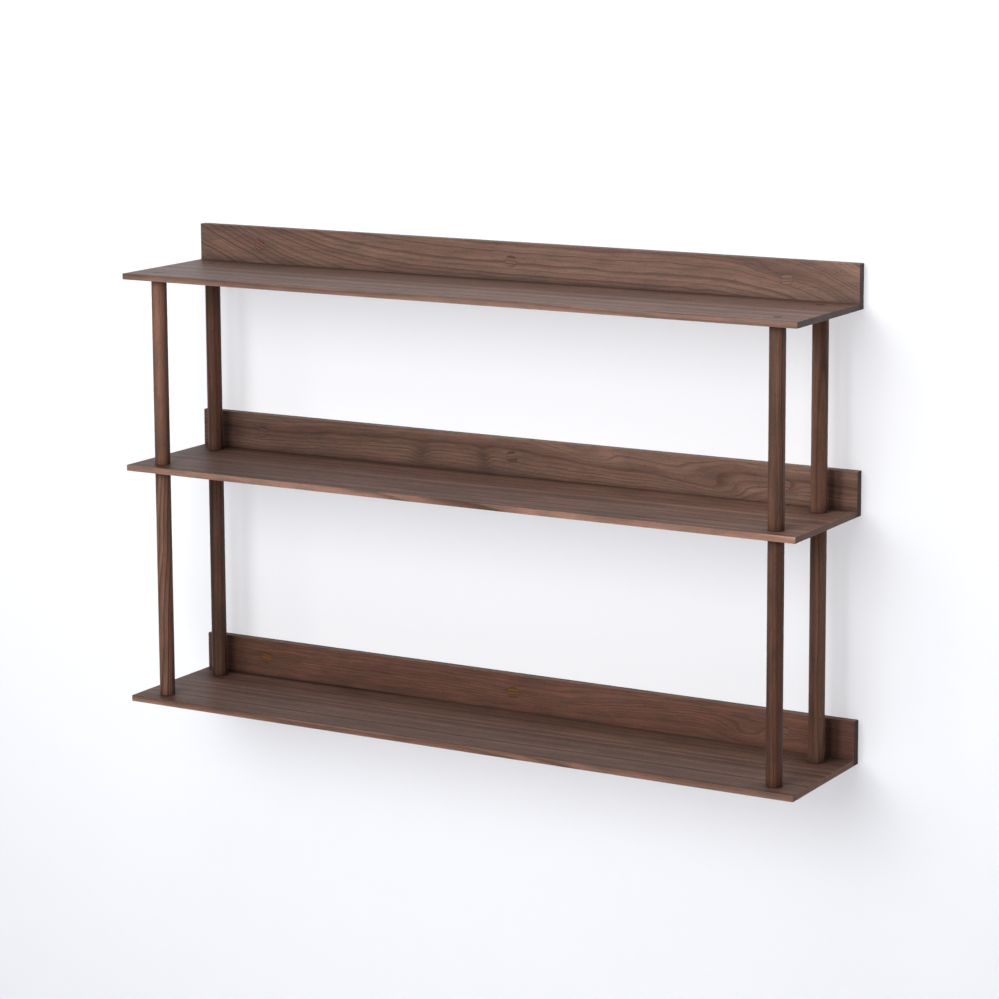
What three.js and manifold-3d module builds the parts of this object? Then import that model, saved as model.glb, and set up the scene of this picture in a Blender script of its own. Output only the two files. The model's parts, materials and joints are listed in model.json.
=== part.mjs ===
// Wall shelf in walnut: three thin boards, each butted and dowelled to a back rail that is screwed
// to the wall, with eight round posts between the boards.
// Millimetres. +X runs along the shelf to the right, the front faces -Y, the wall is the plane Y = 0,
// +Z is up. The origin is the middle of the top rail's back face.

import * as THREE from "three";
import { RoundedBoxGeometry } from "three/addons/geometries/RoundedBoxGeometry.js";
import { mergeVertices } from "three/addons/utils/BufferGeometryUtils.js";
import Module from "manifold-3d";

// Boards and rails
const shelfLength = 1200;
const boardDepth = 220; // front edge to the rail's front face
const boardThickness = 10;
const railThickness = 15;
const railRise = 60; // rail above the board's top
const edgeRadius = 1; // eased edges of boards and rails
const edgeSteps = 2; // facets across an eased edge

// Posts
const upperPostLength = 305; // clear height of the upper bay
const lowerPostLength = 377; // clear height of the lower bay
const postDiameter = 25;
const postEndInset = 47.5; // shelf end to a post's axis
const postFrontInset = 35; // board's front edge to a front post's axis
const postRearInset = 35; // rail's front face to a rear post's axis
const postEase = 1; // chamfer round a post's ends
const postSides = 28;

// Dowels through the boards into the posts
const postDowelDiameter = 14;
const postDowelDepth = 30; // length inside each post
const postDowelSides = 20;

// Dowels between a board's rear edge and its rail
const railDowelDiameter = 6;
const railDowelInBoard = 20;
const railDowelInRail = 10;
const railDowelCount = 5; // along each joint
const railDowelEndInset = 100; // shelf end to the first dowel's axis
const railDowelSides = 12;
const dowelChamfer = 1;

// Wall screws and the plugs over them
const screwEndInset = 120; // shelf end to an outer screw's axis
const plugDiameter = 20;
const plugThickness = 6;
const plugSides = 24;
const screwHeadDiameter = 9;
const screwHeadHeight = 3;
const screwHeadEase = 0.8;
const screwShankDiameter = 4.5;
const screwSocketAcrossCorners = 4.6;
const screwSocketDepth = 1.8;
const screwSides = 12;
const screwSetback = 0.5; // shank's end inside the rail's back face, so that face stays clear

// Fits
const gap = 0.3; // round a dowel, plug or screw in its hole, and past its end
const overshoot = 1; // a cutter past the face that it opens

// Colours
const walnutBoard = { color: 0x6f5347, roughness: 0.5, metalness: 0 };
const walnutRail = { color: 0x7a4f3c, roughness: 0.5, metalness: 0 };
const walnutPost = { color: 0x6a4a3c, roughness: 0.5, metalness: 0 };
const walnutPlug = { color: 0x94633f, roughness: 0.5, metalness: 0 };
const walnutDowel = { color: 0x4a3026, roughness: 0.6, metalness: 0 };
const beechDowel = { color: 0xc9a27a, roughness: 0.7, metalness: 0 };
const zincSteel = { color: 0xb9bcc0, roughness: 0.35, metalness: 1 };

// Places worked out from the sizes
const railHeight = boardThickness + railRise; // a rail's lower edge is level with the board's underside
const railFront = -railThickness;
const boardFront = railFront - boardDepth;
const topSurface = boardThickness - railHeight / 2;
const middleSurface = topSurface - boardThickness - upperPostLength;
const bottomSurface = middleSurface - boardThickness - lowerPostLength;
const screwRise = railRise / 2; // screw axis above the board's top
const postX = shelfLength / 2 - postEndInset;
const postBoreRadius = postDowelDiameter / 2 + gap;
const postBoreDepth = postDowelDepth + gap;
const railBoreRadius = railDowelDiameter / 2 + gap;
const plugBoreDepth = plugThickness + screwHeadHeight + 2 * gap;

const tiers = [
  { name: "bottom", surface: bottomSurface },
  { name: "middle", surface: middleSurface },
  { name: "top", surface: topSurface },
];
const bays = [
  { name: "lower", floor: bottomSurface, length: lowerPostLength },
  { name: "upper", floor: middleSurface, length: upperPostLength },
];
const corners = [
  { name: "front_left", x: -postX, y: boardFront + postFrontInset },
  { name: "front_right", x: postX, y: boardFront + postFrontInset },
  { name: "rear_left", x: -postX, y: railFront - postRearInset },
  { name: "rear_right", x: postX, y: railFront - postRearInset },
];
const screwPlaces = [
  { name: "left", x: screwEndInset - shelfLength / 2 },
  { name: "centre", x: 0 },
  { name: "right", x: shelfLength / 2 - screwEndInset },
];
const railDowelPitch = (shelfLength - 2 * railDowelEndInset) / (railDowelCount - 1);
const railDowelX = Array.from(
  { length: railDowelCount },
  (_, index) => railDowelEndInset - shelfLength / 2 + index * railDowelPitch,
);

const wasm = await Module();
wasm.setup();

function solidFrom(geometry) {
  const bare = geometry.clone();
  bare.deleteAttribute("normal");
  bare.deleteAttribute("uv");
  const merged = mergeVertices(bare);
  return new wasm.Manifold(new wasm.Mesh({
    numProp: 3,
    vertProperties: merged.attributes.position.array,
    triVerts: new Uint32Array(merged.index.array),
  }));
}

function cut(geometry, cutters) {
  const solid = cutters.reduce((rest, cutter) => rest.subtract(solidFrom(cutter)), solidFrom(geometry));
  const { vertProperties, triVerts } = solid.getMesh();
  const result = new THREE.BufferGeometry();
  result.setAttribute("position", new THREE.BufferAttribute(vertProperties, 3));
  result.setIndex(new THREE.BufferAttribute(triVerts, 1));
  result.computeVertexNormals();
  return result;
}

// A turned shape about Z, from [radius, height] pairs that start and end on the axis.
function turned(profile, sides) {
  const points = profile.map(([radius, height]) => new THREE.Vector2(radius, height));
  return new THREE.LatheGeometry(points, sides).rotateX(Math.PI / 2);
}

// A round cutter that stands upright or lies along Y, between two places on its axis.
function uprightBore(radius, sides, x, y, low, high) {
  const bore = new THREE.CylinderGeometry(radius, radius, high - low, sides);
  return bore.rotateX(Math.PI / 2).translate(x, y, (low + high) / 2);
}

function levelBore(radius, sides, x, z, front, back) {
  const bore = new THREE.CylinderGeometry(radius, radius, back - front, sides);
  return bore.translate(x, (front + back) / 2, z);
}

const shelf = new THREE.Group();

function add(name, geometry, finish, x, y, z) {
  const mesh = new THREE.Mesh(geometry, new THREE.MeshStandardMaterial(finish));
  mesh.name = name;
  mesh.position.set(x, y, z);
  shelf.add(mesh);
  return mesh;
}

// A board in its own frame: the middle of the butt joint at its top surface.
function boardGeometry() {
  const blank = new RoundedBoxGeometry(shelfLength, boardDepth, boardThickness, edgeSteps, edgeRadius);
  blank.translate(0, -boardDepth / 2, -boardThickness / 2);
  const low = -boardThickness - overshoot;
  const cutters = corners.map(({ x, y }) =>
    uprightBore(postBoreRadius, postDowelSides, x, y - railFront, low, overshoot));
  for (const x of railDowelX) {
    const front = -railDowelInBoard - gap;
    cutters.push(levelBore(railBoreRadius, railDowelSides, x, -boardThickness / 2, front, overshoot));
  }
  return cut(blank, cutters);
}

// A rail in its own frame: the middle of its back face, level with the board's top surface.
function railGeometry() {
  const blank = new RoundedBoxGeometry(shelfLength, railThickness, railHeight, edgeSteps, edgeRadius);
  blank.translate(0, -railThickness / 2, railHeight / 2 - boardThickness);
  const cutters = [];
  const plugBore = plugDiameter / 2 + gap;
  const shankBore = screwShankDiameter / 2 + gap;
  const front = railFront - overshoot;
  for (const { x } of screwPlaces) {
    cutters.push(levelBore(plugBore, plugSides, x, screwRise, front, railFront + plugBoreDepth));
    cutters.push(levelBore(shankBore, screwSides, x, screwRise, front, overshoot));
  }
  for (const x of railDowelX) {
    const back = railFront + railDowelInRail + gap;
    cutters.push(levelBore(railBoreRadius, railDowelSides, x, -boardThickness / 2, front, back));
  }
  return cut(blank, cutters);
}

// A post in its own frame: the middle of its lower end. Both ends are bored for the dowels.
function postGeometry(length) {
  const radius = postDiameter / 2;
  return turned([
    [0, postBoreDepth],
    [postBoreRadius, postBoreDepth],
    [postBoreRadius, 0],
    [radius - postEase, 0],
    [radius, postEase],
    [radius, length - postEase],
    [radius - postEase, length],
    [postBoreRadius, length],
    [postBoreRadius, length - postBoreDepth],
    [0, length - postBoreDepth],
  ], postSides);
}

// A dowel from low to high, chamfered at each end that is out of sight inside a bore.
function dowelGeometry(diameter, sides, low, high, lowHidden, highHidden) {
  const radius = diameter / 2;
  const profile = [[0, low]];
  if (lowHidden) profile.push([radius - dowelChamfer, low]);
  profile.push([radius, low + (lowHidden ? dowelChamfer : 0)]);
  profile.push([radius, high - (highHidden ? dowelChamfer : 0)]);
  if (highHidden) profile.push([radius - dowelChamfer, high]);
  profile.push([0, high]);
  return turned(profile, sides);
}

// A screw on the Z axis with its head's underside at 0, its shank above it and a hexagon socket.
function screwGeometry() {
  const head = screwHeadDiameter / 2;
  const shank = screwShankDiameter / 2;
  const length = railThickness - plugBoreDepth + gap - screwSetback;
  const blank = turned([
    [0, -screwHeadHeight],
    [head - screwHeadEase, -screwHeadHeight],
    [head, screwHeadEase - screwHeadHeight],
    [head, 0],
    [shank, 0],
    [shank, length],
    [0, length],
  ], screwSides);
  const socketEnd = screwSocketDepth - screwHeadHeight;
  const socket = screwSocketAcrossCorners / 2;
  return cut(blank, [uprightBore(socket, 6, 0, 0, -screwHeadHeight - overshoot, socketEnd)]);
}

for (const { name, surface } of tiers) {
  add(`${name}_board`, boardGeometry(), walnutBoard, 0, railFront, surface);
  add(`${name}_rail`, railGeometry(), walnutRail, 0, 0, surface);

  const postBelow = name !== "bottom";
  const postAbove = name !== "top";
  const dowelLow = -boardThickness - (postBelow ? postDowelDepth : 0);
  const dowelHigh = postAbove ? postDowelDepth : 0;
  for (const corner of corners) {
    const sides = postDowelSides;
    const dowel = dowelGeometry(postDowelDiameter, sides, dowelLow, dowelHigh, postBelow, postAbove);
    add(`${name}_board_dowel_${corner.name}`, dowel, walnutDowel, corner.x, corner.y, surface);
  }

  railDowelX.forEach((x, index) => {
    const low = -railDowelInBoard;
    const dowel = dowelGeometry(railDowelDiameter, railDowelSides, low, railDowelInRail, true, true);
    const z = surface - boardThickness / 2;
    const mesh = add(`${name}_rail_dowel_${index + 1}`, dowel, beechDowel, x, railFront, z);
    mesh.rotation.x = -Math.PI / 2; // its axis lies along Y, with its upper end in the rail
  });

  for (const place of screwPlaces) {
    const z = surface + screwRise;
    const seat = railFront + plugBoreDepth - gap;
    const screw = add(`${name}_rail_screw_${place.name}`, screwGeometry(), zincSteel, place.x, seat, z);
    screw.rotation.x = -Math.PI / 2;
    const plug = new THREE.CylinderGeometry(plugDiameter / 2, plugDiameter / 2, plugThickness, plugSides);
    add(`${name}_rail_plug_${place.name}`, plug, walnutPlug, place.x, railFront + plugThickness / 2, z);
  }
}

for (const { name, floor, length } of bays) {
  for (const corner of corners) {
    add(`${name}_post_${corner.name}`, postGeometry(length), walnutPost, corner.x, corner.y, floor);
  }
}

export default shelf;
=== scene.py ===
import json
import math
import bpy
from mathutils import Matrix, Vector

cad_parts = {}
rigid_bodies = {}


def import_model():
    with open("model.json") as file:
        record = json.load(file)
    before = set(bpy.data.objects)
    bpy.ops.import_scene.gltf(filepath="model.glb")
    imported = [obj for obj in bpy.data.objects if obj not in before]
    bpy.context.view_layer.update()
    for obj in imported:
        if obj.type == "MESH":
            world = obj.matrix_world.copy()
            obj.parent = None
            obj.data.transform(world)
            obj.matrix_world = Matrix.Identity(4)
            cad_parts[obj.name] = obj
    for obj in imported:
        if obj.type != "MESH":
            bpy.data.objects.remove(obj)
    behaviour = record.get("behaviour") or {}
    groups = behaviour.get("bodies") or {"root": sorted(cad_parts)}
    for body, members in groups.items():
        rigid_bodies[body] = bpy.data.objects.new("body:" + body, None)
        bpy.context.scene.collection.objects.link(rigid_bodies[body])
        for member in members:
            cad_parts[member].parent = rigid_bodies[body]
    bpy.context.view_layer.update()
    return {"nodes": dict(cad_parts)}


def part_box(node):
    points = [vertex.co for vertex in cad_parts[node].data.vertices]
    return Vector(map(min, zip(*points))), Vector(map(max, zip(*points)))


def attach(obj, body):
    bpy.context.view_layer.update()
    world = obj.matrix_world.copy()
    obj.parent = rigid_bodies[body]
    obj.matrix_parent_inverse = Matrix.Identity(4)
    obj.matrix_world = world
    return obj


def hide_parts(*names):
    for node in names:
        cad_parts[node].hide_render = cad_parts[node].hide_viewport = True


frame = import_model()
parts = frame["nodes"]
print("frame loaded with", len(parts), "parts")


# camera: to the right of the shelf and a little above it, looking slightly down

cameraSetup = {
    "place": (2.5122, -4.3802, 0.6171),
    "turn": (81.223, 0.282, 30.094),  # degrees
    "lens": 115.4,
    "shift": -0.135,
}
bpy.ops.object.select_all(action="DESELECT")
bpy.ops.object.camera_add(
    location=cameraSetup["place"],
    rotation=[math.radians(angle) for angle in cameraSetup["turn"]],
)
camera = bpy.context.object
camera.name = "camera"
camera.data.lens = cameraSetup["lens"]
camera.data.sensor_width = 36
camera.data.shift_y = cameraSetup["shift"]
camera.data.clip_end = 50
bpy.context.scene.camera = camera


# small tools that every material and piece uses

def linearColour(hexColour):
    channels = [int(hexColour[i:i + 2], 16) / 255 for i in (1, 3, 5)]
    return [c / 12.92 if c <= 0.04045 else ((c + 0.055) / 1.055) ** 2.4 for c in channels] + [1.0]


def addNode(tree, kind, settings=None, inputs=None):
    node = tree.nodes.new(kind)
    for name, value in (settings or {}).items():
        setattr(node, name, value)
    for key, value in (inputs or {}).items():
        if isinstance(value, bpy.types.NodeSocket):
            tree.links.new(value, node.inputs[key])
        else:
            node.inputs[key].default_value = value
    return node


def startMaterial(name):
    material = bpy.data.materials.new(name)
    material.use_nodes = True
    tree = material.node_tree
    tree.nodes.clear()
    return material, tree


def finishMaterial(tree, shader):
    addNode(tree, "ShaderNodeOutputMaterial", None, {"Surface": shader})


# oiled walnut: rings round a pith that lies outside the board, so faces, edges and ends agree.
# Thin dark latewood lines, broad purple-brown bands, short open pores and next to no shine.

walnutLooks = {
    "pale": "#977868",
    "middle": "#76594d",
    "dark": "#4f3b33",
    "mottlePink": "#8a5f53",
    "mottleGrey": "#6f5d50",
    "line": "#3f2a22",
    "pore": "#2a1a15",
    # end faces: darker for end grain, and darker still as painted shade
    "endGrain": "#3c241d",
    "roughness": 0.5,
    "roughnessSpread": 0.06,
    "poreRoughness": 0.15,
    "gloss": 0.12,  # the oil sinks in, so very little shine is left on the open pores
    "fibreLength": 0.045,
    "fibreWidth": 0.0011,  # real fibres are finer; drawn this coarse so that they show
    "poreLength": 0.007,
    "poreWidth": 0.0009,  # real pores are 0.2 mm across; drawn this coarse so that they show
    "poreRange": (0.62, 0.72),
    "poreDarkness": 0.4,
    "fibreTones": (0.76, 1.24),
    "bumpDepth": 0.00012,
    "bumpStrength": 0.6,
    "unevenRings": 2.6,  # how far the ring widths drift, in rings
    "unevenSpan": 3.3,  # rings from one drift to the next
    "lineRise": (0.35, 0.86),  # where in a ring its latewood begins and is darkest
    "faintestLine": 0.25,
    "bandSpread": (0.24, 0.76),
    "bandCentre": 0.48,
    "blotchScale": (5, 18, 18),  # per metre: blotches 20 cm long and 6 cm wide
    "blotchShare": 0.3,
    "mottleScale": (16, 75, 75),  # per metre: patches 6 cm long and 1.3 cm wide
    "mottleRange": (0.32, 0.66),
    "mottleShare": 0.32,
    "mottleTones": (0.84, 1.16),
    "endDarkness": 0.88,
    # eased edges: paler, partly as wear and partly as a painted highlight
    "edgeTone": 1.18,
    # painted shade in the inner corners: how far it reaches and how dark it gets
    "cornerReach": 0.014,
    "cornerTone": 0.55,
}


def walnut(name, centre, timber):
    looks = {**walnutLooks, **timber.get("looks", {})}
    material, tree = startMaterial(name)
    position = addNode(tree, "ShaderNodeTexCoord").outputs["Object"]
    normal = addNode(tree, "ShaderNodeTexCoord").outputs["Normal"]

    # timber axes: X runs along the grain, from the middle of the piece
    grainTurn = timber.get("grainTurn", (0, 0, 0))
    turn = [math.radians(angle) for angle in grainTurn]
    timberAxes = addNode(tree, "ShaderNodeMapping", {"vector_type": "TEXTURE"}, {
        "Vector": position, "Location": centre, "Rotation": turn,
    }).outputs[0]

    # log axes: the pith is the line Y = Z = 0, leaning a little from the timber's own line
    lean = [math.radians(angle) for angle in timber["lean"]]
    logAxes = addNode(tree, "ShaderNodeMapping", {"vector_type": "TEXTURE"}, {
        "Vector": timberAxes, "Location": (0, *timber["pith"]), "Rotation": (0, *lean),
    }).outputs[0]
    across = addNode(tree, "ShaderNodeVectorMath", {"operation": "MULTIPLY"}, {
        0: logAxes, 1: (0, 1, 1),
    }).outputs[0]
    ringRadius = addNode(tree, "ShaderNodeVectorMath", {"operation": "LENGTH"}, {
        0: across,
    }).outputs["Value"]

    # the trunk's slow wander, and a quicker ripple on top of it
    for wave in timber["waves"]:
        stretched = addNode(tree, "ShaderNodeMapping", {"vector_type": "POINT"}, {
            "Vector": timberAxes,
            "Location": (timber["seed"], timber["seed"] * 1.7, timber["seed"] * 0.6),
            "Scale": (1 / wave["length"], 1 / wave["width"], 1 / wave["width"]),
        }).outputs[0]
        noise = addNode(tree, "ShaderNodeTexNoise", None, {
            "Vector": stretched, "Scale": 1.0, "Detail": wave.get("detail", 1.0), "Roughness": 0.45,
        }).outputs["Fac"]
        centred = addNode(tree, "ShaderNodeMath", {"operation": "SUBTRACT"}, {0: noise, 1: 0.5}).outputs[0]
        ringRadius = addNode(tree, "ShaderNodeMath", {"operation": "MULTIPLY_ADD"}, {
            0: centred, 1: wave["height"], 2: ringRadius,
        }).outputs[0]

    # rises round a branch or a bulge: the rings close into loops there
    knotDark = 0.0
    for swirl in timber.get("swirls", []):
        local = addNode(tree, "ShaderNodeMapping", {"vector_type": "TEXTURE"}, {
            "Vector": timberAxes,
            "Location": (swirl["along"], 0, swirl["up"]),
            "Rotation": (0, math.radians(swirl.get("tilt", 0)), 0),
            "Scale": (swirl["length"], 1000, swirl["width"]),
        }).outputs[0]
        square = addNode(tree, "ShaderNodeVectorMath", {"operation": "DOT_PRODUCT"}, {
            0: local, 1: local,
        })
        negative = addNode(tree, "ShaderNodeMath", {"operation": "MULTIPLY"}, {
            0: square.outputs["Value"], 1: -1.0,
        }).outputs[0]
        bell = addNode(tree, "ShaderNodeMath", {"operation": "EXPONENT"}, {0: negative}).outputs[0]
        ringRadius = addNode(tree, "ShaderNodeMath", {"operation": "MULTIPLY_ADD"}, {
            0: bell, 1: swirl["rise"], 2: ringRadius,
        }).outputs[0]
        knotDark = addNode(tree, "ShaderNodeMath", {"operation": "MULTIPLY_ADD"}, {
            0: bell, 1: swirl.get("dark", 0.0), 2: knotDark,
        }).outputs[0]

    # ring count, with uneven ring widths
    unevenInput = addNode(tree, "ShaderNodeMath", {"operation": "DIVIDE"}, {
        0: ringRadius, 1: timber["ringWidth"] * looks["unevenSpan"],
    }).outputs[0]
    uneven = addNode(tree, "ShaderNodeTexNoise", {"noise_dimensions": "1D"}, {
        "W": unevenInput, "Scale": 1.0, "Detail": 1.0,
    }).outputs["Fac"]
    count = addNode(tree, "ShaderNodeMath", {"operation": "DIVIDE"}, {
        0: ringRadius, 1: timber["ringWidth"],
    }).outputs[0]
    count = addNode(tree, "ShaderNodeMath", {"operation": "MULTIPLY_ADD"}, {
        0: uneven, 1: looks["unevenRings"], 2: count,
    }).outputs[0]
    phase = addNode(tree, "ShaderNodeMath", {"operation": "FRACT"}, {0: count}).outputs[0]
    ringNumber = addNode(tree, "ShaderNodeMath", {"operation": "FLOOR"}, {0: count}).outputs[0]
    ringChance = addNode(tree, "ShaderNodeTexWhiteNoise", {"noise_dimensions": "1D"}, {
        "W": ringNumber,
    }).outputs["Value"]

    # latewood: a line that darkens slowly and ends sharply
    line = addNode(tree, "ShaderNodeValToRGB", None, {"Fac": phase})
    ramp = line.color_ramp
    ramp.interpolation = "EASE"
    ramp.elements[0].position = looks["lineRise"][0]
    ramp.elements[0].color = (0, 0, 0, 1)
    ramp.elements[1].position = looks["lineRise"][1]
    ramp.elements[1].color = (1, 1, 1, 1)
    last = ramp.elements.new(1.0)
    last.color = (0, 0, 0, 1)
    lineDepth = addNode(tree, "ShaderNodeMapRange", None, {
        "Value": ringChance, "To Min": looks["faintestLine"], "To Max": 1.0,
    }).outputs[0]
    lineMask = addNode(tree, "ShaderNodeMath", {"operation": "MULTIPLY"}, {
        0: line.outputs["Color"], 1: lineDepth,
    }).outputs[0]
    lineMask = addNode(tree, "ShaderNodeMath", {"operation": "MULTIPLY"}, {
        0: lineMask, 1: timber["lineStrength"],
    }).outputs[0]

    # broad colour bands that follow the rings, and slow blotches along the board
    bandInput = addNode(tree, "ShaderNodeMath", {"operation": "DIVIDE"}, {
        0: ringRadius, 1: timber["bandWidth"],
    }).outputs[0]
    bandInput = addNode(tree, "ShaderNodeMath", {"operation": "ADD"}, {
        0: bandInput, 1: timber["seed"] * 3.1,
    }).outputs[0]
    band = addNode(tree, "ShaderNodeTexNoise", {"noise_dimensions": "1D"}, {
        "W": bandInput, "Scale": 1.0, "Detail": 3.0, "Roughness": 0.6,
    }).outputs["Fac"]
    blotchAxes = addNode(tree, "ShaderNodeMapping", {"vector_type": "POINT"}, {
        "Vector": timberAxes, "Location": (timber["seed"], 0, 0), "Scale": looks["blotchScale"],
    }).outputs[0]
    blotch = addNode(tree, "ShaderNodeTexNoise", None, {
        "Vector": blotchAxes, "Scale": 1.0, "Detail": 2.0,
    }).outputs["Fac"]
    tone = addNode(tree, "ShaderNodeMix", {"data_type": "FLOAT"}, {
        0: looks["blotchShare"], 2: band, 3: blotch,
    }).outputs[0]
    toneRamp = addNode(tree, "ShaderNodeValToRGB", None, {"Fac": tone})
    ramp = toneRamp.color_ramp
    ramp.elements[0].position = looks["bandSpread"][0]
    ramp.elements[0].color = linearColour(looks["dark"])
    ramp.elements[1].position = looks["bandSpread"][1]
    ramp.elements[1].color = linearColour(looks["pale"])
    centreStop = ramp.elements.new(looks["bandCentre"])
    centreStop.color = linearColour(looks["middle"])

    # mottling: pinkish and greyish patches a few centimetres long
    mottleAxes = addNode(tree, "ShaderNodeMapping", {"vector_type": "POINT"}, {
        "Vector": timberAxes, "Location": (0, timber["seed"], 0), "Scale": looks["mottleScale"],
    }).outputs[0]
    mottle = addNode(tree, "ShaderNodeTexNoise", None, {
        "Vector": mottleAxes, "Scale": 1.0, "Detail": 4.0, "Roughness": 0.62, "Distortion": 0.4,
    }).outputs["Fac"]
    mottleColour = addNode(tree, "ShaderNodeValToRGB", None, {"Fac": mottle})
    ramp = mottleColour.color_ramp
    ramp.elements[0].position = looks["mottleRange"][0]
    ramp.elements[0].color = linearColour(looks["mottleGrey"])
    ramp.elements[1].position = looks["mottleRange"][1]
    ramp.elements[1].color = linearColour(looks["mottlePink"])
    ground = addNode(tree, "ShaderNodeMix", {"data_type": "RGBA"}, {
        0: looks["mottleShare"], 6: toneRamp.outputs["Color"], 7: mottleColour.outputs["Color"],
    }).outputs[2]
    mottleTone = addNode(tree, "ShaderNodeMapRange", None, {
        "Value": mottle, "From Min": 0.25, "From Max": 0.75,
        "To Min": looks["mottleTones"][0], "To Max": looks["mottleTones"][1],
    }).outputs[0]
    ground = addNode(tree, "ShaderNodeVectorMath", {"operation": "SCALE"}, {
        0: ground, "Scale": mottleTone,
    }).outputs[0]

    # fibres and pores run along the grain
    fibreAxes = addNode(tree, "ShaderNodeMapping", {"vector_type": "POINT"}, {
        "Vector": timberAxes,
        "Scale": (1 / looks["fibreLength"], 1 / looks["fibreWidth"], 1 / looks["fibreWidth"]),
    }).outputs[0]
    fibre = addNode(tree, "ShaderNodeTexNoise", None, {
        "Vector": fibreAxes, "Scale": 1.0, "Detail": 3.0, "Roughness": 0.6,
    }).outputs["Fac"]
    poreAxes = addNode(tree, "ShaderNodeMapping", {"vector_type": "POINT"}, {
        "Vector": timberAxes,
        "Location": (3.3, 7.1, 1.9),
        "Scale": (1 / looks["poreLength"], 1 / looks["poreWidth"], 1 / looks["poreWidth"]),
    }).outputs[0]
    pore = addNode(tree, "ShaderNodeTexNoise", None, {
        "Vector": poreAxes, "Scale": 1.0, "Detail": 1.0,
    }).outputs["Fac"]
    pore = addNode(tree, "ShaderNodeMapRange", None, {
        "Value": pore, "From Min": looks["poreRange"][0], "From Max": looks["poreRange"][1],
    }).outputs[0]

    # end grain drinks more oil and is painted darker, partly as painted shade on the end faces; eased edges
    # are painted a little paler, partly as rubbing wear and partly as a painted highlight
    timberNormal = addNode(tree, "ShaderNodeMapping", {"vector_type": "TEXTURE"}, {
        "Vector": normal, "Rotation": turn,
    }).outputs[0]
    steepness = addNode(tree, "ShaderNodeVectorMath", {"operation": "ABSOLUTE"}, {
        0: timberNormal,
    }).outputs[0]
    facing = addNode(tree, "ShaderNodeSeparateXYZ", None, {0: steepness})
    endMask = addNode(tree, "ShaderNodeMapRange", None, {
        "Value": facing.outputs[0], "From Min": 0.6, "From Max": 0.9,
    }).outputs[0]
    flattest = addNode(tree, "ShaderNodeMath", {"operation": "MAXIMUM"}, {
        0: facing.outputs[0], 1: facing.outputs[1],
    }).outputs[0]
    flattest = addNode(tree, "ShaderNodeMath", {"operation": "MAXIMUM"}, {
        0: flattest, 1: facing.outputs[2],
    }).outputs[0]
    edgeMask = addNode(tree, "ShaderNodeMapRange", None, {
        "Value": flattest, "From Min": 0.98, "From Max": 0.9,
    }).outputs[0]

    colour = addNode(tree, "ShaderNodeMix", {"data_type": "RGBA"}, {
        0: lineMask, 6: ground, 7: linearColour(looks["line"]),
    }).outputs[2]
    fibreTone = addNode(tree, "ShaderNodeMapRange", None, {
        "Value": fibre, "From Min": 0.25, "From Max": 0.75,
        "To Min": looks["fibreTones"][0], "To Max": looks["fibreTones"][1],
    }).outputs[0]
    colour = addNode(tree, "ShaderNodeVectorMath", {"operation": "SCALE"}, {
        0: colour, "Scale": fibreTone,
    }).outputs[0]
    poreMask = addNode(tree, "ShaderNodeMath", {"operation": "MULTIPLY"}, {
        0: pore, 1: looks["poreDarkness"],
    }).outputs[0]
    colour = addNode(tree, "ShaderNodeMix", {"data_type": "RGBA"}, {
        0: poreMask, 6: colour, 7: linearColour(looks["pore"]),
    }).outputs[2]
    if timber.get("swirls"):
        colour = addNode(tree, "ShaderNodeMix", {"data_type": "RGBA", "clamp_factor": True}, {
            0: knotDark, 6: colour, 7: linearColour(looks["line"]),
        }).outputs[2]
    # end faces are darkened partly for end grain and partly as painted shade
    endGrainAndShadeStrength = addNode(tree, "ShaderNodeMath", {"operation": "MULTIPLY"}, {
        0: endMask, 1: looks["endDarkness"],
    }).outputs[0]
    colour = addNode(tree, "ShaderNodeMix", {"data_type": "RGBA"}, {
        0: endGrainAndShadeStrength, 6: colour, 7: linearColour(looks["endGrain"]),
    }).outputs[2]
    if timber.get("boxShaped", True):
        # painted light: faces across the timber's Y axis, the boards' front and back edges, are made
        # lighter, as the front lights fall on them
        sideFaceLightMask = addNode(tree, "ShaderNodeMapRange", None, {
            "Value": facing.outputs[1], "From Min": 0.6, "From Max": 0.9,
            "To Min": 1.0, "To Max": timber["sideTone"],
        }).outputs[0]
        colour = addNode(tree, "ShaderNodeVectorMath", {"operation": "SCALE"}, {
            0: colour, "Scale": sideFaceLightMask,
        }).outputs[0]
        # eased edges are made paler, partly as rubbing wear and partly as a painted highlight where they
        # catch the light
        edgeTone = addNode(tree, "ShaderNodeMapRange", None, {
            "Value": edgeMask, "To Min": 1.0, "To Max": looks["edgeTone"],
        }).outputs[0]
        colour = addNode(tree, "ShaderNodeVectorMath", {"operation": "SCALE"}, {
            0: colour, "Scale": edgeTone,
        }).outputs[0]

    # painted shade: the colour is darkened in the inner corners, where one piece meets the next, to stand
    # in for the shadow there
    corner = addNode(tree, "ShaderNodeAmbientOcclusion", {"samples": 8}, {
        "Distance": looks["cornerReach"],
    })
    cornerTone = addNode(tree, "ShaderNodeMapRange", None, {
        "Value": corner.outputs["AO"], "From Min": 0.35, "To Min": looks["cornerTone"], "To Max": 1.0,
    }).outputs[0]
    colour = addNode(tree, "ShaderNodeVectorMath", {"operation": "SCALE"}, {
        0: colour, "Scale": cornerTone,
    }).outputs[0]

    # how dark the stick is, from its -X (or lower) end to the other: the level is the piece's own tone, and
    # the rise towards +X on boards and rails is a painted sheen, lighter where the glare is stronger
    along = addNode(tree, "ShaderNodeSeparateXYZ", None, {0: timberAxes}).outputs[0]
    tone = addNode(tree, "ShaderNodeMapRange", None, {
        "Value": along,
        "From Min": -timber["halfLength"],
        "From Max": timber["halfLength"],
        "To Min": timber["tone"][0],
        "To Max": timber["tone"][1],
    }).outputs[0]
    colour = addNode(tree, "ShaderNodeVectorMath", {"operation": "SCALE"}, {
        0: colour, "Scale": tone,
    }).outputs[0]

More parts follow.
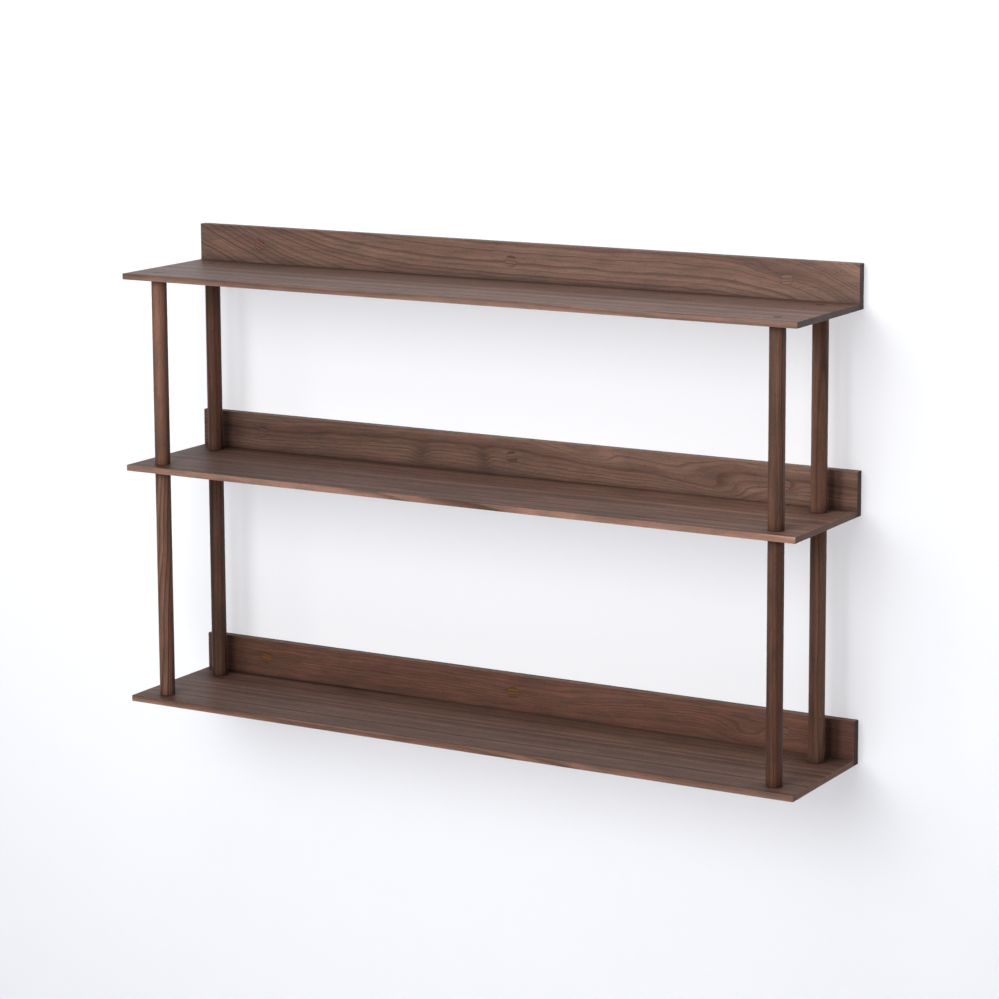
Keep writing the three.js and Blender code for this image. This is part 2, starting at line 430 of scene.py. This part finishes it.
    roughness = addNode(tree, "ShaderNodeMapRange", None, {
        "Value": fibre,
        "To Min": looks["roughness"] - looks["roughnessSpread"],
        "To Max": looks["roughness"] + looks["roughnessSpread"],
    }).outputs[0]
    roughness = addNode(tree, "ShaderNodeMath", {"operation": "MULTIPLY_ADD"}, {
        0: pore, 1: looks["poreRoughness"], 2: roughness,
    }).outputs[0]
    height = addNode(tree, "ShaderNodeMath", {"operation": "SUBTRACT"}, {0: fibre, 1: pore}).outputs[0]
    bump = addNode(tree, "ShaderNodeBump", None, {
        "Strength": looks["bumpStrength"], "Distance": looks["bumpDepth"], "Height": height,
    }).outputs[0]
    shader = addNode(tree, "ShaderNodeBsdfPrincipled", None, {
        "Base Color": colour, "Roughness": roughness, "Normal": bump,
        "IOR": 1.5, "Specular IOR Level": looks["gloss"],
    }).outputs[0]
    finishMaterial(tree, shader)
    return material


# modelling steps that several pieces share

cutterRoom = 0.002  # how far a drill starts outside the face that it opens
smoothAngle = 20  # degrees: facets of a round blend, its eased ends stay crisp
corners = ["front_left", "front_right", "rear_left", "rear_right"]
thirds = ["left", "centre", "right"]
railDowelBuild = {"count": 5, "fit": 0.00015, "endRoom": 0.0003, "boreSides": 24}


def deselect():
    bpy.ops.object.select_all(action="DESELECT")


def newBlock(name, low, high):
    deselect()
    bpy.ops.mesh.primitive_cube_add(size=1, location=(low + high) / 2)
    piece = bpy.context.object
    piece.name = name
    piece.data.name = name
    piece.scale = high - low
    bpy.ops.object.transform_apply(location=True, rotation=True, scale=True)
    return piece


def easeAllEdges(piece, radius, steps):
    bpy.context.view_layer.objects.active = piece
    bpy.ops.object.mode_set(mode="EDIT")
    bpy.ops.mesh.select_all(action="SELECT")
    bpy.ops.mesh.bevel(offset=radius, segments=steps, affect="EDGES")
    bpy.ops.object.mode_set(mode="OBJECT")


def drillHole(piece, radius, sides, start, end):
    deselect()
    path = end - start
    bpy.ops.mesh.primitive_cylinder_add(
        vertices=sides,
        radius=radius,
        depth=path.length,
        location=(start + end) / 2,
        rotation=path.to_track_quat("Z", "Y").to_euler(),
    )
    bit = bpy.context.object
    deselect()
    piece.select_set(True)
    bpy.context.view_layer.objects.active = piece
    bpy.ops.object.modifier_add(type="BOOLEAN")
    modifier = piece.modifiers[-1]
    modifier.operation = "DIFFERENCE"
    modifier.solver = "EXACT"
    modifier.object = bit
    bpy.ops.object.modifier_apply(modifier=modifier.name)
    bpy.data.objects.remove(bit)


def newRound(name, low, high, along, build):
    size = high - low
    lying = {"x": (0, math.radians(90), 0), "y": (math.radians(90), 0, 0), "z": (0, 0, 0)}[along]
    diameter = size.z if along == "x" else size.x
    deselect()
    bpy.ops.mesh.primitive_cylinder_add(
        vertices=build["sides"],
        radius=diameter / 2,
        depth=getattr(size, along),
        location=(low + high) / 2,
        rotation=lying,
    )
    piece = bpy.context.object
    piece.name = name
    piece.data.name = name
    bpy.ops.object.transform_apply(location=True, rotation=True, scale=True)
    ends = [abs(getattr(face.normal, along)) > 0.9 for face in piece.data.polygons]
    bpy.ops.object.mode_set(mode="EDIT")
    bpy.ops.mesh.select_mode(type="FACE")  # in vertex mode the sides would be taken with the ends
    bpy.ops.mesh.select_all(action="DESELECT")
    bpy.ops.object.mode_set(mode="OBJECT")
    piece.data.polygons.foreach_set("select", ends)
    bpy.ops.object.mode_set(mode="EDIT")
    bpy.ops.mesh.bevel(offset=build["endRadius"], segments=build["endSteps"], affect="EDGES")
    bpy.ops.object.mode_set(mode="OBJECT")
    return piece


def smoothRounds(piece):
    deselect()
    piece.select_set(True)
    bpy.context.view_layer.objects.active = piece
    bpy.ops.object.shade_smooth_by_angle(angle=math.radians(smoothAngle))


def handOver(piece, material, slotName, *nodes):
    piece.data.materials.clear()
    piece.data.materials.append(material)
    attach(piece, "root")
    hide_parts(*nodes)


def middleOf(node):
    low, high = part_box(node)
    return (low + high) / 2


def pieceName(node):
    words = node.split("_")
    return words[0] + "".join(word.capitalize() for word in words[1:])


def materialName(kind, piece):
    return kind + piece[0].upper() + piece[1:]


def boreForRailDowels(piece, tier):
    for number in range(1, railDowelBuild["count"] + 1):
        dowelLow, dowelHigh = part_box(f"{tier}_rail_dowel_{number}")
        centre = (dowelLow + dowelHigh) / 2
        start = Vector((centre.x, dowelLow.y - railDowelBuild["endRoom"], centre.z))
        end = Vector((centre.x, dowelHigh.y + railDowelBuild["endRoom"], centre.z))
        radius = (dowelHigh.x - dowelLow.x) / 2 + railDowelBuild["fit"]
        drillHole(piece, radius, railDowelBuild["boreSides"], start, end)


# boards: thin, eased all round, bored for the post dowels and, at the back, for the rail dowels

boardBuild = {"edgeRadius": 0.001, "edgeSteps": 4, "dowelFit": 0.00015, "boreSides": 48}
# the boards take a wider, darker painted shade next to the rails
boardLooks = {"bandSpread": (0.32, 0.66), "cornerReach": 0.04, "cornerTone": 0.42}
# the side factor paints the boards' front and back edges lighter than their tops: painted light
boardTimber = {
    "bottom": {
        "pith": (0.16, -0.09), "lean": (0.0, 0.6), "ringWidth": 0.0065, "bandWidth": 0.014, "seed": 4.2,
        "tone": (0.66, 0.84), "sideTone": 1.6, "lineStrength": 0.95,
        "waves": [
            {"length": 0.6, "width": 0.2, "height": 0.02},
            {"length": 0.12, "width": 0.05, "height": 0.003},
        ],
        "looks": {"endGrain": "#7d5646", **boardLooks},
    },
    "middle": {
        "pith": (0.2, -0.07), "lean": (0.0, 1.0), "ringWidth": 0.0075, "bandWidth": 0.016, "seed": 9.6,
        "tone": (0.65, 1.24), "sideTone": 1.35, "lineStrength": 0.9,
        "waves": [
            {"length": 0.5, "width": 0.2, "height": 0.02},
            {"length": 0.12, "width": 0.05, "height": 0.003},
        ],
        "looks": {"endGrain": "#5f463b", **boardLooks},
    },
    "top": {
        "pith": (-0.18, -0.08), "lean": (0.0, -0.8), "ringWidth": 0.008, "bandWidth": 0.018, "seed": 1.3,
        "tone": (0.70, 1.06), "sideTone": 1.1, "lineStrength": 0.8,
        "waves": [
            {"length": 0.5, "width": 0.2, "height": 0.02},
            {"length": 0.12, "width": 0.05, "height": 0.003},
        ],
        "looks": {"gloss": 0.28, **boardLooks},
    },
}

for tier, timber in boardTimber.items():
    node = f"{tier}_board"
    low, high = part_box(node)
    board = newBlock(f"{tier}Board", low, high)
    easeAllEdges(board, boardBuild["edgeRadius"], boardBuild["edgeSteps"])
    for corner in corners:
        dowelLow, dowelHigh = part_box(f"{tier}_board_dowel_{corner}")
        radius = (dowelHigh.x - dowelLow.x) / 2 + boardBuild["dowelFit"]
        centre = (dowelLow + dowelHigh) / 2
        start = Vector((centre.x, centre.y, low.z - cutterRoom))
        end = Vector((centre.x, centre.y, high.z + cutterRoom))
        drillHole(board, radius, boardBuild["boreSides"], start, end)
    boreForRailDowels(board, tier)
    plank = {**timber, "halfLength": (high.x - low.x) / 2}
    wood = walnut(materialName("oiledWalnut", board.name), (low + high) / 2, plank)
    handOver(board, wood, "board_walnut", node)
print("boards made")

# rails: upright on the wall, counterbored for the screws and their plugs

railBuild = {
    "edgeRadius": 0.001,
    "edgeSteps": 4,
    "plugFit": 0.00012,
    "plugBoreDepth": 0.0095,
    "shankRadius": 0.0025,
    "boreSides": 48,
}
# on boards and rails, the rise in tone towards +X is a painted sheen
railTimber = {
    "bottom": {
        "pith": (0.02, -0.14), "lean": (0.0, -1.0), "ringWidth": 0.005, "bandWidth": 0.03, "seed": 7.7,
        "tone": (0.50, 0.62), "sideTone": 1.0, "lineStrength": 0.55,
        "waves": [
            {"length": 0.35, "width": 0.12, "height": 0.02},
            {"length": 0.06, "width": 0.03, "height": 0.006},
        ],
        "swirls": [
            {"along": 0.10, "up": 0.005, "length": 0.13, "width": 0.02, "rise": 0.012},
            {"along": 0.42, "up": -0.01, "length": 0.05, "width": 0.022, "rise": 0.022, "dark": 0.12},
        ],
        "looks": {"pale": "#9c7362", "middle": "#7c5648", "dark": "#553a30", "mottlePink": "#935a4c"},
    },
    "middle": {
        "pith": (0.01, -0.10), "lean": (0.0, 1.5), "ringWidth": 0.007, "bandWidth": 0.035, "seed": 12.4,
        "tone": (0.51, 0.92), "sideTone": 1.0, "lineStrength": 0.5,
        "waves": [
            {"length": 0.3, "width": 0.12, "height": 0.03},
            {"length": 0.06, "width": 0.03, "height": 0.007},
        ],
        "swirls": [
            {
                "along": -0.17, "up": -0.005, "length": 0.016, "width": 0.026,
                "rise": 0.008, "dark": 0.35, "tilt": 20,
            },
            {
                "along": -0.05, "up": -0.01, "length": 0.012, "width": 0.03,
                "rise": 0.008, "dark": 0.42, "tilt": -12,
            },
            {
                "along": 0.14, "up": 0.022, "length": 0.06, "width": 0.016,
                "rise": 0.014, "dark": 0.1, "tilt": 14,
            },
            {"along": 0.36, "up": -0.012, "length": 0.085, "width": 0.02, "rise": 0.024, "tilt": 12},
            {"along": 0.49, "up": 0.0, "length": 0.011, "width": 0.009, "rise": 0.012, "dark": 0.35},
        ],
    },
    "top": {
        "pith": (0.02, -0.12), "lean": (0.0, 1.0), "ringWidth": 0.0075, "bandWidth": 0.045, "seed": 2.9,
        "tone": (0.68, 0.92), "sideTone": 1.0, "lineStrength": 0.62,
        "waves": [
            {"length": 0.35, "width": 0.12, "height": 0.012},
            {"length": 0.05, "width": 0.03, "height": 0.006},
        ],
        "swirls": [
            {"along": -0.75, "up": 0.0, "length": 0.3, "width": 5.0, "rise": -0.15},
            {"along": 0.75, "up": 0.0, "length": 0.2, "width": 5.0, "rise": 0.11},
            {
                "along": 0.465, "up": 0.016, "length": 0.035, "width": 0.01,
                "rise": 0.012, "dark": 0.16, "tilt": 10,
            },
        ],
        "looks": {"gloss": 0.22},
    },
}

for tier, timber in railTimber.items():
    node = f"{tier}_rail"
    low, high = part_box(node)
    rail = newBlock(f"{tier}Rail", low, high)
    easeAllEdges(rail, railBuild["edgeRadius"], railBuild["edgeSteps"])
    for third in thirds:
        plugLow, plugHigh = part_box(f"{node}_plug_{third}")
        centre = (plugLow + plugHigh) / 2
        front = Vector((centre.x, low.y - cutterRoom, centre.z))
        seat = Vector((centre.x, low.y + railBuild["plugBoreDepth"], centre.z))
        back = Vector((centre.x, high.y + cutterRoom, centre.z))
        plugRadius = (plugHigh.x - plugLow.x) / 2 + railBuild["plugFit"]
        drillHole(rail, plugRadius, railBuild["boreSides"], front, seat)
        drillHole(rail, railBuild["shankRadius"], railBuild["boreSides"] // 2, seat, back)
    boreForRailDowels(rail, tier)
    plank = {**timber, "halfLength": (high.x - low.x) / 2}
    wood = walnut(materialName("oiledWalnut", rail.name), (low + high) / 2, plank)
    handOver(rail, wood, "rail_walnut", node)
print("rails made")

# posts: turned, with eased ends bored for the dowels; every post comes from its own stick

postBuild = {"sides": 72, "endRadius": 0.0011, "endSteps": 4, "dowelFit": 0.00015, "boreSides": 36}
warmLooks = {"pale": "#9f7861", "middle": "#7a5645", "dark": "#50342a"}
redderLooks = {"pale": "#8f644e", "middle": "#694433", "dark": "#452a20"}
postTimber = {
    "upper_post_front_left": {
        "pith": (0.05, 0.03), "lean": (0.4, 0.5), "ringWidth": 0.006, "bandWidth": 0.02, "seed": 3.0,
        "tone": (0.96, 0.96),
        "lineStrength": 0.6,
        "waves": [{"length": 0.2, "width": 0.08, "height": 0.01}],
    },
    "upper_post_front_right": {
        "pith": (-0.06, 0.02), "lean": (0.2, -0.6), "ringWidth": 0.005, "bandWidth": 0.02, "seed": 5.1,
        "tone": (0.62, 0.62),
        "lineStrength": 0.7,
        "waves": [{"length": 0.3, "width": 0.08, "height": 0.01}],
    },
    "upper_post_rear_left": {
        "pith": (0.03, -0.06), "lean": (-0.5, 0.3), "ringWidth": 0.006, "bandWidth": 0.02, "seed": 8.3,
        "tone": (0.63, 0.63),
        "lineStrength": 0.6,
        "waves": [{"length": 0.25, "width": 0.08, "height": 0.01}],
        "looks": redderLooks,
    },
    "upper_post_rear_right": {
        "pith": (0.04, 0.05), "lean": (0.8, 0.3), "ringWidth": 0.006, "bandWidth": 0.02, "seed": 11.9,
        "tone": (0.90, 0.90),
        "lineStrength": 0.6,
        "waves": [{"length": 0.3, "width": 0.08, "height": 0.01}],
    },
    "lower_post_front_left": {
        "pith": (0.02, -0.02), "lean": (1.2, 1.6), "ringWidth": 0.005, "bandWidth": 0.02, "seed": 14.6,
        "tone": (0.76, 0.76),
        "lineStrength": 0.8,
        "waves": [{"length": 0.2, "width": 0.08, "height": 0.012}],
    },
    "lower_post_front_right": {
        "pith": (-0.05, 0.04), "lean": (0.3, -0.4), "ringWidth": 0.006, "bandWidth": 0.02, "seed": 17.2,
        "tone": (0.58, 0.58),
        "lineStrength": 0.6,
        "waves": [{"length": 0.3, "width": 0.08, "height": 0.01}],
        "looks": redderLooks,
    },
    "lower_post_rear_left": {
        "pith": (0.06, -0.02), "lean": (0.2, 0.6), "ringWidth": 0.006, "bandWidth": 0.02, "seed": 21.4,
        "tone": (0.42, 0.42),
        "lineStrength": 0.5,
        "waves": [{"length": 0.35, "width": 0.08, "height": 0.01}],
    },
    "lower_post_rear_right": {
        "pith": (-0.03, -0.05), "lean": (-0.4, 0.5), "ringWidth": 0.005, "bandWidth": 0.02, "seed": 24.8,
        "tone": (0.66, 0.66),
        "lineStrength": 0.6,
        "waves": [{"length": 0.3, "width": 0.08, "height": 0.01}],
    },
}

for node, timber in postTimber.items():
    bay, corner = node.split("_post_")
    low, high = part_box(node)
    post = newRound(pieceName(node), low, high, "z", postBuild)
    lowerTier, upperTier = ("bottom", "middle") if bay == "lower" else ("middle", "top")
    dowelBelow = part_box(f"{lowerTier}_board_dowel_{corner}")
    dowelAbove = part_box(f"{upperTier}_board_dowel_{corner}")
    radius = (dowelBelow[1].x - dowelBelow[0].x) / 2 + postBuild["dowelFit"]
    middle = (low + high) / 2
    bores = ((low.z - cutterRoom, dowelBelow[1].z), (high.z + cutterRoom, dowelAbove[0].z))
    for mouth, floor in bores:
        start = Vector((middle.x, middle.y, mouth))
        end = Vector((middle.x, middle.y, floor))
        drillHole(post, radius, postBuild["boreSides"], start, end)
    smoothRounds(post)
    upright = {
        **timber,
        "looks": {**warmLooks, **timber.get("looks", {})},
        "grainTurn": (0, -90, 0),
        "boxShaped": False,
        "halfLength": (high.z - low.z) / 2,
    }
    wood = walnut(materialName("oiledWalnut", post.name), middle, upright)
    handOver(post, wood, "post_walnut", node)
print("posts made")

# plugs: cut across a board so that their faces show long grain, flush with the rail

plugBuild = {"sides": 64, "endRadius": 0.0004, "endSteps": 2}
rosyLooks = {"pale": "#94685a", "middle": "#765044", "dark": "#553a31"}
greyLooks = {"pale": "#8c7566", "middle": "#745f52", "dark": "#59473d"}
goldenLooks = {  # sapwood streaks in two of the lower plugs, a dull gold among the brown
    "pale": "#a0703f", "middle": "#785233", "dark": "#4a3124",
    "mottlePink": "#8a5c34", "mottleGrey": "#6b4d38",
}
plugTimber = {
    "top_left": {"turn": 24, "tone": 0.80, "looks": rosyLooks},
    "top_centre": {"turn": 4, "tone": 0.86, "looks": {}},
    "top_right": {"turn": -8, "tone": 0.98, "looks": greyLooks},
    "middle_left": {"turn": 6, "tone": 0.52, "looks": {}},
    "middle_centre": {"turn": -12, "tone": 0.60, "looks": {}},
    "middle_right": {"turn": 15, "tone": 0.80, "looks": {}},
    "bottom_left": {"turn": 9, "tone": 0.60, "looks": goldenLooks},
    "bottom_centre": {"turn": -5, "tone": 0.66, "looks": goldenLooks},
    "bottom_right": {"turn": 12, "tone": 0.72, "looks": {}},
}

for number, (place, timber) in enumerate(plugTimber.items()):
    tier, third = place.split("_")
    node = f"{tier}_rail_plug_{third}"
    low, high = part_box(node)
    plug = newRound(pieceName(node), low, high, "y", plugBuild)
    smoothRounds(plug)
    stick = {
        "grainTurn": (0, timber["turn"], 0), "pith": (0.03, -0.05), "lean": (0.0, 1.0),
        "ringWidth": 0.004, "bandWidth": 0.007, "seed": 31.0 + 2.3 * number, "lineStrength": 0.8,
        "boxShaped": False,
        "waves": [{"length": 0.06, "width": 0.03, "height": 0.004}], "looks": timber["looks"],
        "halfLength": 0.01, "tone": (timber["tone"], timber["tone"]),
    }
    wood = walnut(materialName("oiledWalnutPlug", pieceName(place)), (low + high) / 2, stick)
    handOver(plug, wood, "plug_walnut", node)
print("plugs made")

# post dowels: their ends show as end-grain discs on top of the top board and under the bottom one

dowelBuild = {"sides": 48, "endRadius": 0.001, "endSteps": 2}

places = [(tier, corner) for tier in boardTimber for corner in corners]
for number, (tier, corner) in enumerate(places):
    node = f"{tier}_board_dowel_{corner}"
    low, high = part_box(node)
    dowel = newRound(pieceName(node), low, high, "z", dowelBuild)
    smoothRounds(dowel)
    stick = {
        "grainTurn": (0, -90, 0), "pith": (0.012, 0.006), "lean": (0.3, 0.4), "ringWidth": 0.0025,
        "bandWidth": 0.01, "seed": 61.0 + 1.9 * number, "lineStrength": 0.8, "boxShaped": False,
        "waves": [{"length": 0.1, "width": 0.02, "height": 0.003}],
        "halfLength": 0.02, "tone": (0.85, 0.85), "looks": {"endGrain": "#5c463c"},
    }
    wood = walnut(materialName("oiledWalnut", dowel.name), (low + high) / 2, stick)
    handOver(dowel, wood, "dowel_walnut", node)
print("post dowels made")


# hidden fastenings: pale beech dowels in the rail joints, zinc-plated steel screws behind the plugs

beechLooks = {
    "pale": "#d9b98f",
    "dark": "#b98f63",
    "fleck": "#8f6540",
    "roughness": 0.6,
    "grainSize": (0.0012, 0.03, 0.0012),
    "fleckSize": (0.0006, 0.004, 0.0006),  # the short dark flecks that tell beech apart
    "bumpDepth": 0.0001,
}
steelLooks = {
    "bright": "#c9c8c2",
    "dull": "#9d9b91",
    "roughness": 0.32,
    "roughnessSpread": 0.08,
    "spangleScale": 900.0,  # per metre: zinc crystals about 1 mm across
    "cloudSize": (0.002, 0.002, 0.002),
    "bumpDepth": 0.00005,
}


def beech(name, centre):
    material, tree = startMaterial(name)
    position = addNode(tree, "ShaderNodeTexCoord").outputs["Object"]
    grainAxes = addNode(tree, "ShaderNodeMapping", {"vector_type": "TEXTURE"}, {
        "Vector": position, "Location": centre, "Scale": beechLooks["grainSize"],
    }).outputs[0]
    grain = addNode(tree, "ShaderNodeTexNoise", None, {
        "Vector": grainAxes, "Scale": 1.0, "Detail": 3.0,
    }).outputs["Fac"]
    fleckAxes = addNode(tree, "ShaderNodeMapping", {"vector_type": "TEXTURE"}, {
        "Vector": position, "Location": centre, "Scale": beechLooks["fleckSize"],
    }).outputs[0]
    fleck = addNode(tree, "ShaderNodeTexNoise", None, {"Vector": fleckAxes, "Scale": 1.0}).outputs["Fac"]
    fleck = addNode(tree, "ShaderNodeMapRange", None, {
        "Value": fleck, "From Min": 0.6, "From Max": 0.7, "To Max": 0.6,
    }).outputs[0]
    wood = addNode(tree, "ShaderNodeMix", {"data_type": "RGBA"}, {
        0: grain, 6: linearColour(beechLooks["pale"]), 7: linearColour(beechLooks["dark"]),
    }).outputs[2]
    wood = addNode(tree, "ShaderNodeMix", {"data_type": "RGBA"}, {
        0: fleck, 6: wood, 7: linearColour(beechLooks["fleck"]),
    }).outputs[2]
    bump = addNode(tree, "ShaderNodeBump", None, {
        "Strength": 0.5, "Distance": beechLooks["bumpDepth"], "Height": grain,
    }).outputs[0]
    shader = addNode(tree, "ShaderNodeBsdfPrincipled", None, {
        "Base Color": wood, "Roughness": beechLooks["roughness"], "IOR": 1.5, "Normal": bump,
    }).outputs[0]
    finishMaterial(tree, shader)
    return material


def zincSteel(name, centre):
    material, tree = startMaterial(name)
    position = addNode(tree, "ShaderNodeTexCoord").outputs["Object"]
    spangle = addNode(tree, "ShaderNodeTexVoronoi", None, {
        "Vector": position, "Scale": steelLooks["spangleScale"],
    }).outputs["Distance"]
    cloudAxes = addNode(tree, "ShaderNodeMapping", {"vector_type": "TEXTURE"}, {
        "Vector": position, "Location": centre, "Scale": steelLooks["cloudSize"],
    }).outputs[0]
    cloud = addNode(tree, "ShaderNodeTexNoise", None, {
        "Vector": cloudAxes, "Scale": 1.0, "Detail": 4.0,
    }).outputs["Fac"]
    metal = addNode(tree, "ShaderNodeMix", {"data_type": "RGBA"}, {
        0: cloud, 6: linearColour(steelLooks["bright"]), 7: linearColour(steelLooks["dull"]),
    }).outputs[2]
    roughness = addNode(tree, "ShaderNodeMapRange", None, {
        "Value": cloud,
        "To Min": steelLooks["roughness"] - steelLooks["roughnessSpread"],
        "To Max": steelLooks["roughness"] + steelLooks["roughnessSpread"],
    }).outputs[0]
    bump = addNode(tree, "ShaderNodeBump", None, {
        "Strength": 0.3, "Distance": steelLooks["bumpDepth"], "Height": spangle,
    }).outputs[0]
    shader = addNode(tree, "ShaderNodeBsdfPrincipled", None, {
        "Base Color": metal, "Metallic": 1.0, "Roughness": roughness, "Normal": bump,
    }).outputs[0]
    finishMaterial(tree, shader)
    return material


def colourHidden(node, kind, makeMaterial):
    hidden = parts[node]
    hidden.data.materials.clear()
    hidden.data.materials.append(makeMaterial(materialName(kind, pieceName(node)), middleOf(node)))


for tier in boardTimber:
    for number in range(1, railDowelBuild["count"] + 1):
        colourHidden(f"{tier}_rail_dowel_{number}", "plainBeech", beech)
    for third in thirds:
        colourHidden(f"{tier}_rail_screw_{third}", "zincSteel", zincSteel)
print("fastenings coloured")

# stage: a pale wall that turns into a pale floor, seen through from behind

stageSetup = {
    "wallGap": 0.0008,
    "halfWidth": 6.0,
    "top": 3.0,
    "floor": -2.4,
    "front": -8.0,
    "coveRadius": 0.5,
    "coveSteps": 24,
    "paint": "#f0f1f5",
}


def makeStage():
    deselect()
    bpy.ops.mesh.primitive_plane_add(size=1, rotation=(math.radians(90), 0, 0))
    stage = bpy.context.object
    stage.name = "wallAndFloor"
    stage.scale = (2 * stageSetup["halfWidth"], stageSetup["top"] - stageSetup["floor"], 1)
    stage.location = (0, stageSetup["wallGap"], (stageSetup["top"] + stageSetup["floor"]) / 2)
    bpy.ops.object.transform_apply(location=True, rotation=True, scale=True)
    lowest = min(vertex.co.z for vertex in stage.data.vertices)
    nearby = 0.001
    for vertex in stage.data.vertices:
        vertex.select = abs(vertex.co.z - lowest) < nearby
    for edge in stage.data.edges:
        edge.select = all(stage.data.vertices[i].select for i in edge.vertices)
    for face in stage.data.polygons:
        face.select = False
    bpy.ops.object.mode_set(mode="EDIT")
    bpy.ops.mesh.select_mode(type="EDGE")
    bpy.ops.mesh.extrude_edges_move(TRANSFORM_OT_translate={"value": (0, stageSetup["front"], 0)})
    bpy.ops.object.mode_set(mode="OBJECT")
    for edge in stage.data.edges:
        ends = [stage.data.vertices[i].co for i in edge.vertices]
        edge.select = all(abs(end.z - lowest) < nearby and end.y > -0.1 for end in ends)
    bpy.ops.object.mode_set(mode="EDIT")
    bpy.ops.mesh.bevel(offset=stageSetup["coveRadius"], segments=stageSetup["coveSteps"], affect="EDGES")
    bpy.ops.mesh.select_all(action="SELECT")
    bpy.ops.mesh.normals_make_consistent(inside=True)  # towards the shelf
    bpy.ops.object.mode_set(mode="OBJECT")
    bpy.ops.object.shade_smooth()
    return stage


stage = makeStage()
paint, tree = startMaterial("mattWallPaint")
paintNoise = addNode(tree, "ShaderNodeTexNoise", None, {"Scale": 900.0, "Detail": 2.0}).outputs["Fac"]
paintBump = addNode(tree, "ShaderNodeBump", None, {
    "Strength": 0.1, "Distance": 0.0002, "Height": paintNoise,
}).outputs[0]
paintCoat = addNode(tree, "ShaderNodeBsdfPrincipled", None, {
    "Base Color": linearColour(stageSetup["paint"]), "Roughness": 0.9, "Normal": paintBump,
}).outputs[0]
seeThrough = addNode(tree, "ShaderNodeBsdfTransparent").outputs[0]
behind = addNode(tree, "ShaderNodeNewGeometry").outputs["Backfacing"]
paintSides = addNode(tree, "ShaderNodeMixShader", None, {0: behind, 1: paintCoat, 2: seeThrough}).outputs[0]
finishMaterial(tree, paintSides)
stage.data.materials.append(paint)

# light: a large key from the upper left and one from the front, then fills that light only the
# shelf, only the wall (less towards its foot) or only the backs of the rails, in a dim room

lightSetup = {
    "key": {"place": (-2.0, -4.4, 1.9), "aim": (0.0, 0.0, -0.2), "size": 3.0, "power": 78},
    "front": {"place": (0.1, -4.6, 1.1), "aim": (0.0, 0.0, -0.2), "size": 2.8, "power": 72},
    "shelfFill": {
        "place": (0.0, -4.6, 0.9), "aim": (0.0, 0.0, -0.2), "size": 2.8, "power": 122,
        "lights": "shelf",
    },
    "wallFill": {
        "place": (0.0, -4.6, 0.9), "aim": (0.0, 0.0, 0.42), "size": 2.8, "power": 43,
        "spread": 95, "lights": "wall",
    },
    "overhead": {"place": (0.0, -1.6, 2.0), "aim": (0.0, 0.0, -0.2), "size": 1.4, "power": 10},
    "rear": {
        "place": (-1.4, 3.4, -2.6), "aim": (0.0, 0.0, -0.35), "size": 2.4, "power": 110,
        "lights": "rails",
    },
}
roomStrength = 0.06
groups = {name: bpy.data.collections.new(name + "Group") for name in ["shelf", "wall", "rails"]}
for thing in bpy.data.objects:
    if thing.type == "MESH":
        groups["wall" if thing == stage else "shelf"].objects.link(thing)
    if thing.name.endswith("Rail"):
        groups["rails"].objects.link(thing)

for name, setup in lightSetup.items():
    deselect()
    bpy.ops.object.light_add(type="AREA", location=setup["place"])
    light = bpy.context.object
    light.name = name + "Light"
    light.data.shape = "SQUARE"
    light.data.size = setup["size"]
    light.data.energy = setup["power"]
    direction = Vector(setup["aim"]) - Vector(setup["place"])
    light.rotation_euler = direction.to_track_quat("-Z", "Y").to_euler()
    if "spread" in setup:
        light.data.spread = math.radians(setup["spread"])
    if "lights" in setup:
        # each group is lit, and shaded, by its own things only
        light.light_linking.receiver_collection = groups[setup["lights"]]
        light.light_linking.blocker_collection = groups[setup["lights"]]

world = bpy.data.worlds.new("room")
bpy.context.scene.world = world
world.use_nodes = True
world.node_tree.nodes.clear()
air = addNode(world.node_tree, "ShaderNodeBackground", None, {
    "Color": (1, 1, 1, 1), "Strength": roomStrength,
}).outputs[0]
addNode(world.node_tree, "ShaderNodeOutputWorld", None, {"Surface": air})
bpy.context.scene.view_settings.view_transform = "Standard"
print("stage and light made")
